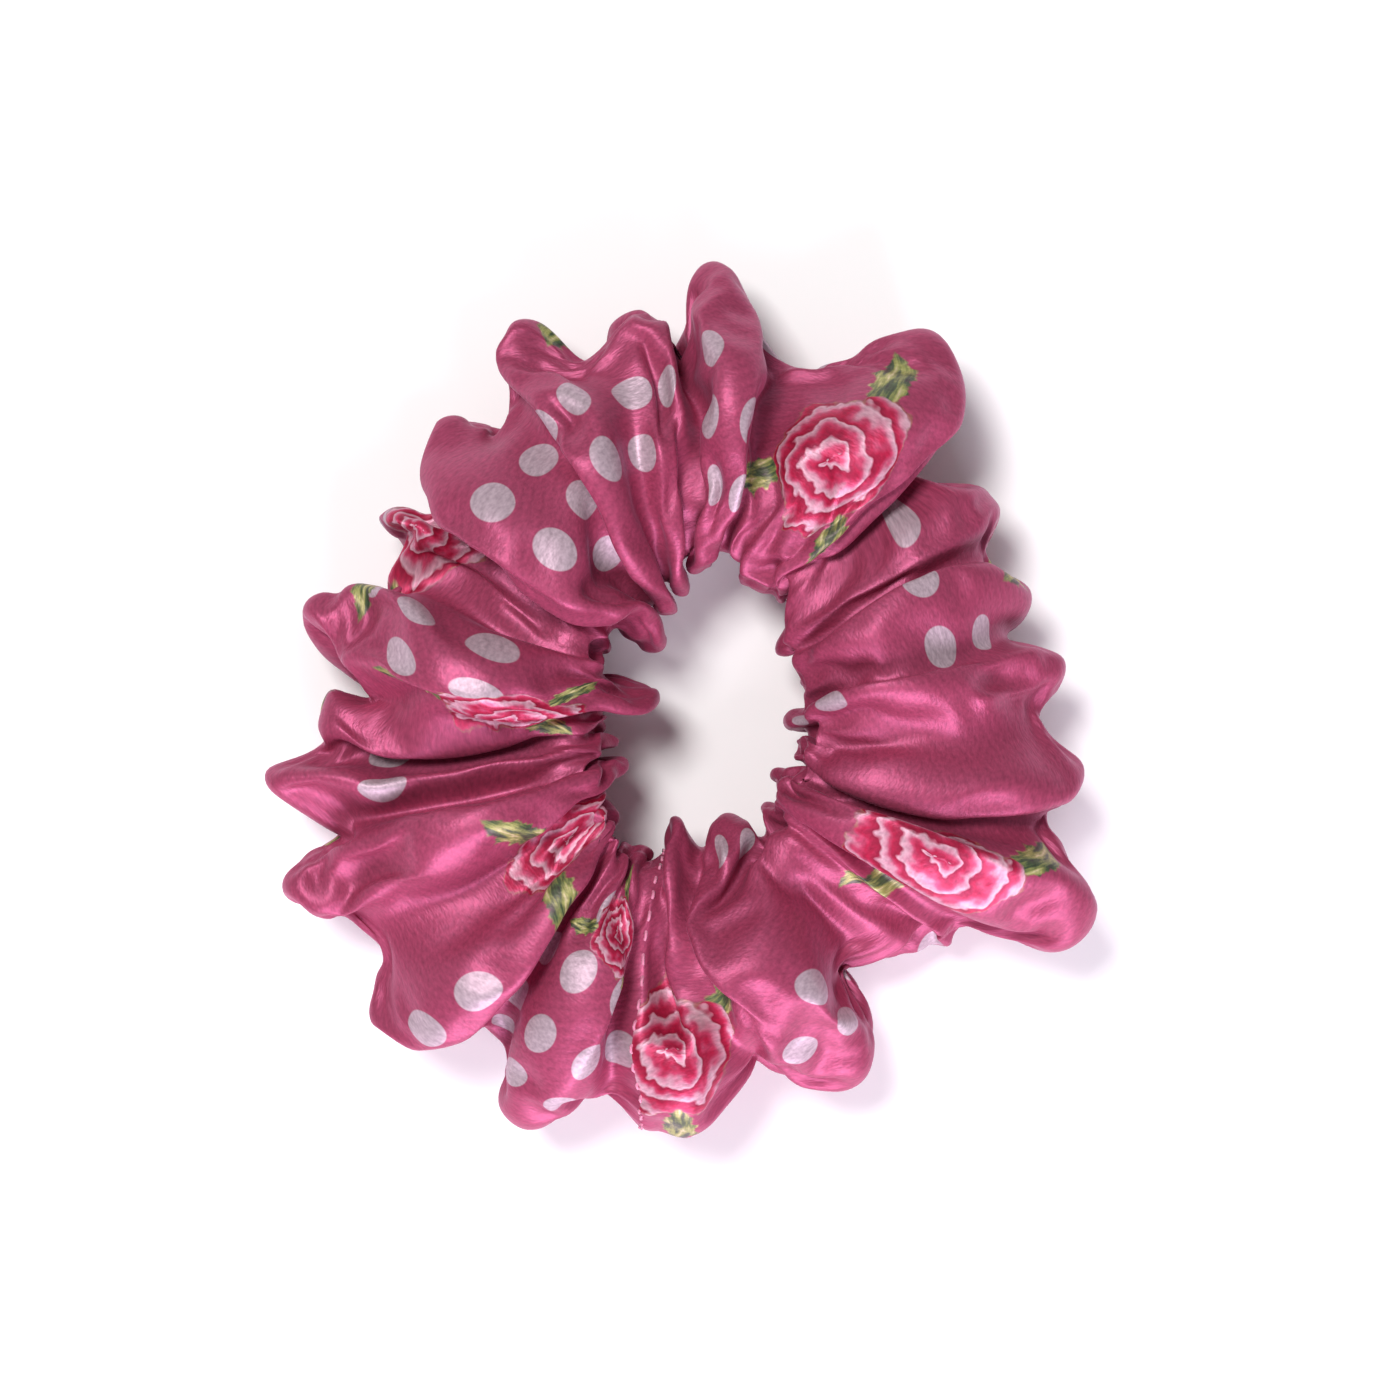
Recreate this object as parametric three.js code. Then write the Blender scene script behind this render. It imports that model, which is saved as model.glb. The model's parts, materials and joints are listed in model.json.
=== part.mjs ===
// Scrunchie: a hair tie made of one printed satin tube, gathered on a loop of flat elastic.
//
// Millimetres, +Z up. It lies flat on z = 0 with the middle of its outline at the origin.
// Angles go anticlockwise from +X, seen from above. The satin tube is cut from one strip and
// closed at 270 degrees, where the two ends of the elastic are also lapped and stitched.
//
// Cloth and elastic stretch, so each is divided across the ring into sections that slide
// apart along Y. Every section is a closed solid of its own.

import * as THREE from 'three';
import { ParametricGeometry } from 'three/addons/geometries/ParametricGeometry.js';

// ---------------------------------------------------------------- driving dimensions

const RING_CENTRE_X = 2.2; // the hair opening is a little off the middle of the outline
const RING_CENTRE_Y = -1.9;
const GAP = 0.4; // between two neighbouring sections
const FULL_TURN = 360;
const CLOSING_ANGLE = 270; // where the tube and the elastic were closed into a ring

const CASING = {
  wall: 0.9, // satin, seam turnings and the air between folded layers
  middleHeight: 14, // of the tube's axis above the table
  topRise: 14, // mean height of the folds above the axis
  pleatRise: 2, // folds rise and fall by this much
  pleatPitch: 15, // degrees from one fold to the next
  bottomDrop: 15.5, // a little more than middleHeight, so that the cloth lies flat below
  stepsRound: 16, // facets round the tube
  stepAngle: 3.75, // degrees of ring per facet
};

const ELASTIC = {
  semiX: 17, // loop of about 140 mm, relaxed
  semiY: 27,
  width: 6,
  thickness: 1,
  stepAngle: 7.5,
  lapOffset: 1.4, // the upper end lies this far outside the lower one
  lapStart: 257,
  lapFull: 267,
  lapEnd: 290,
};

const THREAD = {
  radius: 0.25,
  sides: 6,
  depth: 1.9, // of the thread's middle below the casing's outer face
  seamTubeAngle: 315, // the long seam runs low on the side of the hair opening
  stepAngle: 3.75,
};

// Reach of the cloth from the ring's centre: [angle, millimetres], fold tips and hollows.
const OUTER_OUTLINE = [
  [0, 48.4], [12, 45.6], [30, 44], [48, 52.5], [62, 56.2], [85, 59.3], [103, 49.5],
  [118, 56.7], [129, 51.5], [142, 54.6], [155, 49.2], [165, 57.5], [182, 48.8], [205, 61.2],
  [215, 54.5], [230, 61.6], [236, 58.5], [243, 61.5], [260, 50.5], [270, 55.2], [279, 50.6],
  [296, 55.6], [311, 46], [330, 59.5], [342, 49], [352, 51.5],
];

// Edge of the hair opening, a drop shape with its narrow end at the top.
const OPENING_OUTLINE = [
  [0, 10.4], [40, 12.2], [65, 14], [82, 23.5], [92, 13], [120, 9.6], [138, 10.5], [165, 6.8],
  [190, 6.2], [206, 7], [217, 14.7], [250, 20], [262, 14.3], [285, 15.4], [310, 11.6],
  [340, 12.5],
];

// One group per stretch of the ring that moves as one, in order from the closing seam.
const STRETCHES = [
  { name: 'bottom_right', elastic: [270, 315], casing: {
    casing_bottom_start: [270, 285], casing_bottom_right: [285, 315] } },
  { name: 'right_lower', elastic: [315, 345], casing: { casing_right_lower: [315, 345] } },
  { name: 'right_middle', elastic: [345, 375], casing: { casing_right_middle: [345, 375] } },
  { name: 'right_upper', elastic: [375, 405], casing: { casing_right_upper: [375, 405] } },
  { name: 'top', elastic: [405, 495], casing: {
    casing_top_right: [405, 435], casing_top: [435, 465], casing_top_left: [465, 495] } },
  { name: 'left_upper', elastic: [495, 525], casing: { casing_left_upper: [495, 525] } },
  { name: 'left_middle', elastic: [525, 555], casing: { casing_left_middle: [525, 555] } },
  { name: 'left_lower', elastic: [555, 585], casing: { casing_left_lower: [555, 585] } },
  { name: 'bottom_left', elastic: [585, 630], casing: {
    casing_bottom_left: [585, 615], casing_bottom_end: [615, 630] } },
];

// ---------------------------------------------------------------- finishes

const satin = { color: 0xc9648c, roughness: 0.38, metalness: 0 };
const knittedElastic = { color: 0xf1ece6, roughness: 0.85, metalness: 0 };
const polyesterThread = { color: 0xd98aa8, roughness: 0.6, metalness: 0 };

// ---------------------------------------------------------------- shape helpers

const radians = THREE.MathUtils.degToRad;

// Reach at any angle: an eased step from each listed point to the next.
function reachAt(outline, angle) {
  const turn = ((angle % FULL_TURN) + FULL_TURN) % FULL_TURN;
  const last = outline.length - 1;
  const next = outline.findIndex(([listed]) => listed > turn);
  const [startAngle, startReach] = outline[next === -1 ? last : next - 1];
  const [endAngle, endReach] = next === -1 ? [FULL_TURN, outline[0][1]] : outline[next];
  const share = (turn - startAngle) / (endAngle - startAngle);
  return THREE.MathUtils.lerp(startReach, endReach, (1 - Math.cos(Math.PI * share)) / 2);
}

// Point at a distance from the ring's centre; shift slides it along the ring.
function ringPoint(angle, reach, z, shift = 0) {
  const a = radians(angle);
  return new THREE.Vector3(
    RING_CENTRE_X + reach * Math.cos(a) - shift * Math.sin(a),
    RING_CENTRE_Y + reach * Math.sin(a) + shift * Math.cos(a),
    z,
  );
}

// Point of the casing: tubeAngle is 0 at the hair opening, 90 on top and 180 outside, and
// depth is measured inwards from the outer face.
function casingPoint(angle, tubeAngle, depth, shift = 0) {
  const inner = reachAt(OPENING_OUTLINE, angle) + depth;
  const outer = reachAt(OUTER_OUTLINE, angle) - depth;
  const pleat = Math.cos((2 * Math.PI * angle) / CASING.pleatPitch);
  const topRise = CASING.topRise + CASING.pleatRise * pleat - depth;
  const sine = Math.sin(radians(tubeAngle));
  const rise = (sine > 0 ? topRise : CASING.bottomDrop - depth) * sine;
  const reach = (inner + outer) / 2 - ((outer - inner) / 2) * Math.cos(radians(tubeAngle));
  return ringPoint(angle, reach, Math.max(CASING.middleHeight + rise, depth), shift);
}

function ellipseReach(semiX, semiY, angle) {
  const a = radians(angle);
  return (semiX * semiY) / Math.hypot(semiY * Math.cos(a), semiX * Math.sin(a));
}

function piece(name, geometry, finish) {
  const mesh = new THREE.Mesh(geometry, new THREE.MeshStandardMaterial(finish));
  mesh.name = name;
  return mesh;
}

// Angles from start to end in equal steps of about stepAngle.
function anglesBetween(start, end, stepAngle) {
  const steps = Math.max(1, Math.round((end - start) / stepAngle));
  return Array.from({ length: steps + 1 }, (_, i) => start + ((end - start) * i) / steps);
}

// ---------------------------------------------------------------- satin casing

// Hollow slice of the tube: loops of its outer face forwards, then of its inner face back.
function casingSection(name, [start, end]) {
  const angles = anglesBetween(start, end, CASING.stepAngle);
  const loops = [
    ...angles.map((angle) => ({ angle, depth: 0 })),
    ...angles.toReversed().map((angle) => ({ angle, depth: CASING.wall })),
  ];
  const shiftAt = (angle) => (GAP / 2) * (Number(angle === start) - Number(angle === end));
  const surface = (u, v, target) => {
    const { angle, depth } = loops[Math.round(v * loops.length) % loops.length];
    target.copy(casingPoint(angle, (FULL_TURN * u) % FULL_TURN, depth, shiftAt(angle)));
  };
  return piece(name, new ParametricGeometry(surface, CASING.stepsRound, loops.length), satin);
}

// ---------------------------------------------------------------- elastic band

// Flat strip standing on its edge along the loop; offsetAt moves it outwards where it laps.
function elasticSection(name, start, end, offsetAt = () => 0) {
  const angles = anglesBetween(start, end, ELASTIC.stepAngle);
  const face = (side) => angles.map((angle) => {
    const reach = ellipseReach(ELASTIC.semiX, ELASTIC.semiY, angle) + offsetAt(angle);
    const shift = (GAP / 2) * (Number(angle === start) - Number(angle === end));
    const point = ringPoint(angle, reach + (side * ELASTIC.thickness) / 2, 0, shift);
    return new THREE.Vector2(point.x, point.y);
  });
  const strip = new THREE.Shape([...face(1), ...face(-1).toReversed()]);
  const geometry = new THREE.ExtrudeGeometry(strip, { depth: ELASTIC.width, bevelEnabled: false });
  const mesh = piece(name, geometry, knittedElastic);
  mesh.position.z = CASING.middleHeight - ELASTIC.width / 2;
  return mesh;
}

// The last end of the band steps outwards and lies on the first one.
function lapOffsetAt(angle) {
  const share = (angle - ELASTIC.lapStart) / (ELASTIC.lapFull - ELASTIC.lapStart);
  return ELASTIC.lapOffset * THREE.MathUtils.smoothstep(share, 0, 1);
}

// ---------------------------------------------------------------- threads

function thread(name, points) {
  const section = new THREE.Shape(
    Array.from({ length: THREAD.sides }, (_, i) => {
      const a = (2 * Math.PI * i) / THREAD.sides;
      return new THREE.Vector2(THREAD.radius * Math.cos(a), THREAD.radius * Math.sin(a));
    }),
  );
  const path = new THREE.CatmullRomCurve3(points);
  const options = { extrudePath: path, steps: points.length - 1, bevelEnabled: false };
  return piece(name, new THREE.ExtrudeGeometry(section, options), polyesterThread);
}

// One stretch of the seam that closes the strip into a tube.
function longSeam(name, [start, end]) {
  const angles = anglesBetween(start, end, THREAD.stepAngle);
  const clearOfNeighbour = (angle) => GAP * (Number(angle === start) - Number(angle === end));
  const points = angles.map((angle) =>
    casingPoint(angle, THREAD.seamTubeAngle, THREAD.depth, clearOfNeighbour(angle)));
  return thread(name, points);
}

// Stitches round the tube at the closing angle; they stop short of the long seam.
function closingSeam(name) {
  const firstTubeAngle = 0;
  const lastTubeAngle = 300;
  const tubeStep = FULL_TURN / CASING.stepsRound;
  const points = anglesBetween(firstTubeAngle, lastTubeAngle, tubeStep).map((tubeAngle) =>
    casingPoint(CLOSING_ANGLE, tubeAngle, THREAD.depth));
  return thread(name, points);
}

// Zigzag over the lapped ends of the elastic.
function elasticStitching(name) {
  const [start, end, pitch] = [272, 288, 2];
  const margin = 1.2; // from the band's edges
  const clearance = 0.35;
  const outside = ELASTIC.lapOffset + ELASTIC.thickness / 2 + clearance + THREAD.radius;
  const halfHeight = ELASTIC.width / 2 - margin;
  const points = anglesBetween(start, end, pitch).map((angle, i) => {
    const reach = ellipseReach(ELASTIC.semiX, ELASTIC.semiY, angle) + outside;
    return ringPoint(angle, reach, CASING.middleHeight + (i % 2 ? halfHeight : -halfHeight));
  });
  return thread(name, points);
}

// ---------------------------------------------------------------- assembly

const scrunchie = new THREE.Group();

for (const { name, elastic: [start, end], casing } of STRETCHES) {
  const stretch = new THREE.Group();
  const closesTheLoop = end === CLOSING_ANGLE + FULL_TURN;
  for (const [casingName, span] of Object.entries(casing)) {
    stretch.add(casingSection(casingName, span));
  }
  const elasticEnd = closesTheLoop ? ELASTIC.lapEnd + FULL_TURN : end;
  const lap = (angle) => (closesTheLoop ? lapOffsetAt(angle - FULL_TURN) : 0);
  stretch.add(
    elasticSection(`elastic_${name}`, start, elasticEnd, lap),
    longSeam(`long_seam_${name}`, [start, end]),
  );
  scrunchie.add(stretch);
}
scrunchie.add(closingSeam('closing_seam_thread'), elasticStitching('elastic_stitching'));

export default scrunchie;
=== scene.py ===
# %% [markdown]
# # A satin scrunchie, from the strip of cloth up
# A scrunchie is one strip of printed satin, sewn into a tube and gathered on a loop of flat
# elastic. It lies here as it falls on a table: the folds stand up, lean over one another and
# open into pockets at the outer edge.
#
# The imported model says where everything is and how it moves. Its casing is a set of plain
# hollow slices, so each of them is replaced here by real cloth. The slices slide apart along Y
# when the loop is pulled open; the cloth between two slices is a slab of its own, which keeps
# its place and rides neither.

# %% Load the fixed frame
import json
import math

import bpy
import numpy as np
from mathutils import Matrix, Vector

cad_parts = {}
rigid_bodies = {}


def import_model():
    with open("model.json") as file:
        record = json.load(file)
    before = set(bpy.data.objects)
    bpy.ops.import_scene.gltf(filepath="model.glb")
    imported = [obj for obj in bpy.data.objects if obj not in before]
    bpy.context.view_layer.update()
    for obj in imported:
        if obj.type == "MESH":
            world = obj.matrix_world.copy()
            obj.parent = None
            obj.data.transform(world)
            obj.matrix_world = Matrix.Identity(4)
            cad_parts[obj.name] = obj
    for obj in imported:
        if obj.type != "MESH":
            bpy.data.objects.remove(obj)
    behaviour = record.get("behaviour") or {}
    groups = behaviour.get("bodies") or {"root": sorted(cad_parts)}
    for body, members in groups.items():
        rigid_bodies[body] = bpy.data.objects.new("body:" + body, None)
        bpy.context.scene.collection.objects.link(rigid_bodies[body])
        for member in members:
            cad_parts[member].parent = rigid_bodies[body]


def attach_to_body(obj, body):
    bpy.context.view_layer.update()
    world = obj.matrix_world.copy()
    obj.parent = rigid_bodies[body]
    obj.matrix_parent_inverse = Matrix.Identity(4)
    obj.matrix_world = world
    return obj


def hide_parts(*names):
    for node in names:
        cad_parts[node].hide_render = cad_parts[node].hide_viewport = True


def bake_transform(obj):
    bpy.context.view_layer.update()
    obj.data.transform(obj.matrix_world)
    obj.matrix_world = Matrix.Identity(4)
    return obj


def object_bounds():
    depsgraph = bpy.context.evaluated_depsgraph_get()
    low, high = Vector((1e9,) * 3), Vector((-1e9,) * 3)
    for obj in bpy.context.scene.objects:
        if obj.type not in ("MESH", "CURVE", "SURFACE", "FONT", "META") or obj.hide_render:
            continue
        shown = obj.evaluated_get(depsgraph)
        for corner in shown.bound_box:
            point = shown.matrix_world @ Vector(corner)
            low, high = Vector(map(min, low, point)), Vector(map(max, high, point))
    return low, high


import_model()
MM = 0.001
CAD_BOX = [list(corner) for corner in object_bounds()]
print("CAD box in mm:", (np.array(CAD_BOX) / MM).round(1).tolist())

# %% [markdown]
# ## The strip and its folds
# Lengths are in millimetres until a mesh is made. The tube is 384 mm of cloth on a ring of
# about 230 mm, so two fifths of it go into folds. A random gather would look right but would
# never put a fold where the real one has it, so the folds are a short list, one line for
# each, in order round the ring from the closing seam. A fold has a tip at the outer edge and
# one at the hair opening, which needn't lie on one radius, because folds sweep sideways.

# %% Sizes of the cloth
STRIP_LENGTH = 384.0  # along the middle of the tube
GIRTH = 94.0  # round the tube
COLUMNS, ROWS = 200, 44  # of the simulated cloth
RING_CENTRE = np.array([2.2, -1.9])
AXIS_HEIGHT = 14.0  # of the tube's middle above the table
SATIN_THICKNESS = 0.25
ELASTIC_SEMI_X, ELASTIC_SEMI_Y = 17.0, 27.0
ELASTIC_WIDTH, ELASTIC_THICKNESS = 6.0, 1.0
SETTLING = 2.0  # the cloth is set down by this much after it has been let go

# Angles in degrees, anticlockwise from +X. Reach is measured from the ring's centre. Cloth is
# a share of the strip. Lean is sideways travel per height, and pocket is the hollow's depth.
#  outer inner | reach: outer, inner | cloth  lean   top  pocket
FOLD_TABLE = [
    (268, 262, 55.5, 13.0, 14, 0.3, 27, 0),
    (290, 285, 55.0, 13.5, 38, -0.7, 30, 4),
    (311, 304, 46.0, 14.0, 12, 0.0, 21, 0),
    (332, 322, 59.0, 11.0, 31, 0.4, 30, 5),
    (353, 338, 51.5, 12.0, 25, -0.6, 28, 0),
    (368, 355, 48.5, 10.0, 18, 0.4, 28, 4),
    (383, 375, 45.5, 12.0, 20, 0.8, 29, 0),
    (395, 400, 47.0, 12.0, 12, -0.3, 26, 0),
    (418, 431, 57.5, 15.5, 46, -0.8, 29, 0),
    (446, 449, 59.5, 17.0, 38, -0.2, 30, 3),
    (464, 459, 52.5, 14.0, 16, 0.3, 27, 0),
    (476, 469, 56.5, 12.0, 27, 0.6, 31, 4),
    (492, 484, 52.0, 8.5, 34, 1.2, 31, 0),
    (508, 504, 54.0, 13.0, 18, 0.0, 21, 0),
    (525, 533, 57.0, 5.0, 36, 0.4, 30, 8),
    (543, 549, 49.5, 11.0, 14, -0.3, 26, 0),
    (553, 560, 57.0, 10.0, 14, 0.2, 26, 0),
    (569, 573, 60.0, 10.5, 32, -0.3, 30, 6),
    (587, 588, 60.0, 17.0, 32, 0.9, 29, 0),
    (606, 605, 60.0, 18.0, 34, 0.3, 28, 3),
]
(OUTER_TIP, INNER_TIP, OUTER_REACH, INNER_REACH, CLOTH, LEAN, TOP, POCKET) = np.array(
    FOLD_TABLE, float
).T
CLOTH = CLOTH * STRIP_LENGTH / CLOTH.sum()
FOLD_START = np.concatenate([[0], np.cumsum(CLOTH)])  # along the strip
print(len(CLOTH), "folds of", CLOTH.min().round(), "to", CLOTH.max().round(), "mm of cloth")

# %% [markdown]
# ## The path of a gathered edge
# Cloth that is pushed together along one line bends like a river: its heading swings from
# side to side, and a bigger swing uses up more cloth for the same advance. Past a right angle
# the bends hang over. A wave whose height is a sine can't overhang, and it stretches the cloth
# on its slopes, so here the sine is the heading, and the path is what follows from it. That is
# right for a tight fold. A loose one is a puff with a crease in each hollow and one round arc
# over its top, so the heading is a mix of the two, by how tight the fold is.


# %% Meander
MOST_SWING = 2.3  # radians; the bends of a river nearly touch here
CREASE = 0.12  # of a loose fold's cloth goes into each of its two hollows
SWINGS = np.linspace(0, MOST_SWING, 200)
SHARES = np.linspace(0, 1, 401)
EVEN = np.sin(2 * math.pi * SHARES)
PUFFED = np.interp(SHARES, [0, CREASE, 1 - CREASE, 1], [0, 1, -1, 0])
TIGHT = SWINGS[:, None] / MOST_SWING
HEADING = SWINGS[:, None] * (TIGHT * EVEN + (1 - TIGHT) * PUFFED)


def add_up(rates):
    """Running sum along the path, by the trapezium rule, for one unit of cloth."""
    pairs = (rates[:, 1:] + rates[:, :-1]) / 2 / (len(SHARES) - 1)
    return np.concatenate([np.zeros((len(rates), 1)), np.cumsum(pairs, axis=1)], axis=1)


ADVANCE, HEIGHT = add_up(np.cos(HEADING)), add_up(np.sin(HEADING))
NET_ADVANCE = ADVANCE[:, -1]


def meander(packing, share):
    """Advance from 0 to 1, height and crest height of a fold, per unit of its cloth.

    packing is the fold's pitch divided by its cloth, and share is how far along the cloth a
    point is. The swing is looked up from the packing, then the path from the swing."""
    swing = np.interp(-packing, -NET_ADVANCE, SWINGS)
    row = swing / MOST_SWING * (len(SWINGS) - 1)
    column = share * (len(SHARES) - 1)
    low_row = np.clip(row.astype(int), 0, len(SWINGS) - 2)
    low_column = np.clip(column.astype(int), 0, len(SHARES) - 2)
    down, across = row - low_row, column - low_column

    def read_row(table, line):
        return table[line, low_column] * (1 - across) + table[line, low_column + 1] * across

    def read(table):
        return read_row(table, low_row) * (1 - down) + read_row(table, low_row + 1) * down

    crest = np.interp(swing, SWINGS, HEIGHT[:, len(SHARES) // 2])
    return read(ADVANCE) / np.interp(swing, SWINGS, NET_ADVANCE), read(HEIGHT), crest


half_packed = meander(np.array([0.5]), np.array([0.5]))
print("crest of a fold packed to half its cloth:", half_packed[2].round(3))

# %% [markdown]
# ## The gathered tube before it is let go
# The tips of the folds lie on a swollen ring: its section is an ellipse from the hair opening
# to the outer edge. Hollows lie inside it by the height of the fold, but never so deep that
# the cloth would cut the elastic. Leaning folds are slid sideways by their height, and a
# pocket is a dent pressed into the tip near the outer edge.


# %% Layout of the tube
def between_folds(values, fold, share):
    """Each fold's own value on its crest, easing to the neighbours' mean in the hollows."""
    neighbour = np.where(share < 0.5, np.roll(values, 1)[fold], np.roll(values, -1)[fold])
    crest_width = 0.35
    ease = np.clip((np.abs(2 * share - 1) - crest_width) / (1 - crest_width), 0, 1)
    ease = ease * ease * (3 - 2 * ease)
    return values[fold] * (1 - ease / 2) + neighbour * ease / 2


def hollow_angles(tips):
    """Angles of the hollows between the tips, one more than the folds.

    A hollow divides the gap between two tips as their cloth is divided, so that a fold with
    much cloth is a broad one."""
    ring = np.concatenate([[tips[-1] - 360], tips, [tips[0] + 360]])
    cloth = np.concatenate([CLOTH[-1:], CLOTH, CLOTH[:1]])
    return (ring[:-1] * cloth[1:] + ring[1:] * cloth[:-1]) / (cloth[1:] + cloth[:-1])


def elastic_reach(angle):
    """Distance of the elastic's loop, an ellipse, from the ring's centre."""
    across, along = ELASTIC_SEMI_Y * np.cos(angle), ELASTIC_SEMI_X * np.sin(angle)
    return ELASTIC_SEMI_X * ELASTIC_SEMI_Y / np.hypot(across, along)


PACKING_RANGE = 0.05, 0.97  # of a fold's pitch divided by its cloth
LEAST_REACH = 5.0  # of any cloth from the ring's centre
HOLLOW_MARGIN, LEAST_HOLLOW = 2.5, 1.0
DEEPEST_INSIDE, DEEPEST_OUTSIDE = 4.5, 14.5  # hollows at the hair opening and the outer edge


def hollow_limit(crest_reach, crest_z, angle, outward):
    """How deep a hollow may be: as far as the elastic, less a margin, and never very deep."""
    past_elastic = np.abs(crest_reach - elastic_reach(angle)) - ELASTIC_THICKNESS / 2
    over_elastic = np.abs(crest_z - AXIS_HEIGHT - SETTLING) - ELASTIC_WIDTH / 2
    room = np.hypot(np.maximum(past_elastic, 0), np.maximum(over_elastic, 0))
    deepest = DEEPEST_INSIDE + (DEEPEST_OUTSIDE - DEEPEST_INSIDE) * outward
    return np.minimum(np.maximum(room - HOLLOW_MARGIN, LEAST_HOLLOW), deepest)


POCKET_TURN, POCKET_SPREAD = math.radians(140), math.radians(30)  # round the tube
POCKET_WIDTH = 0.17  # of the fold's cloth


def pocket_dent(turn, share):
    """A round dent in the fold's crest, a bell curve both ways, 1 at its middle."""
    dent = np.exp(-(((turn - POCKET_TURN) / POCKET_SPREAD) ** 2))
    return dent * np.exp(-(((share - 0.5) / POCKET_WIDTH) ** 2))


def gathered_tube():
    """Grid of points, columns along the strip by rows round the tube.

    Row 0 faces the hair opening, a quarter of the way round is the top and half of the way
    is the outer edge. Each point is the crest's ellipse less the depth below the crest. Also
    returned is which points are held: those in a hollow that face the hair opening."""
    strip = np.arange(COLUMNS)[:, None] * STRIP_LENGTH / COLUMNS
    turn = 2 * math.pi * np.arange(ROWS)[None, :] / ROWS
    strip, turn = np.broadcast_arrays(strip, turn)
    fold = np.searchsorted(FOLD_START, strip, side="right") - 1
    share = (strip - FOLD_START[fold]) / CLOTH[fold]
    outward = (1 - np.cos(turn)) / 2
    outer, inner = hollow_angles(OUTER_TIP), hollow_angles(INNER_TIP)
    start = inner[fold] + (outer - inner)[fold] * outward
    end = inner[fold + 1] + (outer - inner)[fold + 1] * outward
    near, far, top = (between_folds(v, fold, share) for v in (INNER_REACH, OUTER_REACH, TOP))
    half_width = (far - near) / 2
    rise = np.where(np.sin(turn) > 0, top - AXIS_HEIGHT, AXIS_HEIGHT)
    crest_reach = (near + far) / 2 - half_width * np.cos(turn)
    crest_z = AXIS_HEIGHT + rise * np.sin(turn)
    out_x, out_z = -np.cos(turn) / half_width, np.sin(turn) / rise
    length = np.hypot(out_x, out_z)
    out_x, out_z = out_x / length, out_z / length

    usual_depth, least_reach = 5.0, 7.0
    local_reach = np.maximum(crest_reach - out_x * usual_depth, least_reach)
    tube_over_ring = GIRTH / STRIP_LENGTH
    cloth = CLOTH[fold] * (1 - tube_over_ring * np.cos(turn))
    packing = np.radians(end - start) * local_reach / cloth
    packing = np.clip(packing, *PACKING_RANGE)
    advance, height, crest = meander(packing, share)
    lean = LEAN[fold] * np.clip(np.sin(turn), 0, 1)
    upright = cloth / np.hypot(1, lean)
    height, crest = height * upright, crest * upright

    middle = np.radians((start + end) / 2)
    limit = hollow_limit(crest_reach, crest_z, middle, outward)
    squeeze = np.minimum(1, limit / np.maximum(crest, 1e-6))
    height, crest = height * squeeze, crest * squeeze
    height = height - POCKET[fold] * pocket_dent(turn, share)

    angle = np.radians(start + (end - start) * advance)
    angle = angle + lean * height / np.maximum(local_reach, 2 * LEAST_REACH)
    reach = np.maximum(crest_reach - (crest - height) * out_x, LEAST_REACH)
    z = crest_z - (crest - height) * out_z
    x = RING_CENTRE[0] + reach * np.cos(angle)
    y = RING_CENTRE[1] + reach * np.sin(angle)
    near_hollow, facing_hair = 0.35, 0.95
    hollow = (height < near_hollow * crest) & (np.cos(turn) > facing_hair)
    return np.stack([x, y, z], axis=-1), hollow


layout, held_by_elastic = gathered_tube()
print("layout box:", layout.min((0, 1)).round(1), layout.max((0, 1)).round(1))

# %% [markdown]
# ## Letting the cloth fall into its folds
# The layout has the right folds, but it is too even: each is a copy of one curve, and the
# cloth in it is squeezed here and stretched there. Blender's Cloth puts that right. It runs at
# ten times the size, because its distances are made for things as big as people. The cloth's
# unstretched shape is a plain tube bent round a circle, a little air pressure keeps the tube
# open, the elastic is a solid that it can't pass, and the hollows that touch the elastic are
# held. Ten steps are enough: more would shake out the folds that were laid.


# %% Cloth simulation
SIM_SCALE = 10 * MM
SIM_FRAMES = 10
PRESSURE = 15.0  # of the air in the tube
TABLE_SIZE = 4.0  # of the floor, and of the table that the simulation uses
TABLE_SKIN, ELASTIC_SKIN, CLOTH_SKIN = 0.3, 1.0, 0.9  # millimetres that things keep apart


def tube_faces(columns, rows):
    """Quads of a grid that closes on itself both ways, facing out of the tube."""
    i, j = np.meshgrid(np.arange(columns), np.arange(rows), indexing="ij")
    after_i, after_j = (i + 1) % columns, (j + 1) % rows
    corners = [i * rows + j, i * rows + after_j, after_i * rows + after_j, after_i * rows + j]
    return np.stack(corners, axis=-1).reshape(-1, 4)


def new_object(name, points, faces):
    mesh = bpy.data.meshes.new(name)
    mesh.from_pydata(points.reshape(-1, 3).tolist(), [], faces.tolist())
    mesh.update()
    made = bpy.data.objects.new(name, mesh)
    bpy.context.scene.collection.objects.link(made)
    return made


def flat_square(name):
    """The table's top."""
    corners = np.array([[-1, -1, 0], [1, -1, 0], [1, 1, 0], [-1, 1, 0]]) * TABLE_SIZE / 2
    return new_object(name, corners, np.array([[0, 1, 2, 3]]))


def unstretched_tube():
    """The sewn tube bent round a circle of its own length: a torus, in simulation units."""
    ring, tube = STRIP_LENGTH / (2 * math.pi), GIRTH / (2 * math.pi)
    along = 2 * math.pi * np.arange(COLUMNS)[:, None] / COLUMNS
    turn = 2 * math.pi * np.arange(ROWS)[None, :] / ROWS
    reach = ring - tube * np.cos(turn)
    z = tube * np.sin(turn) + 0 * along
    return np.stack([reach * np.cos(along), reach * np.sin(along), z], axis=-1) * SIM_SCALE


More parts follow.
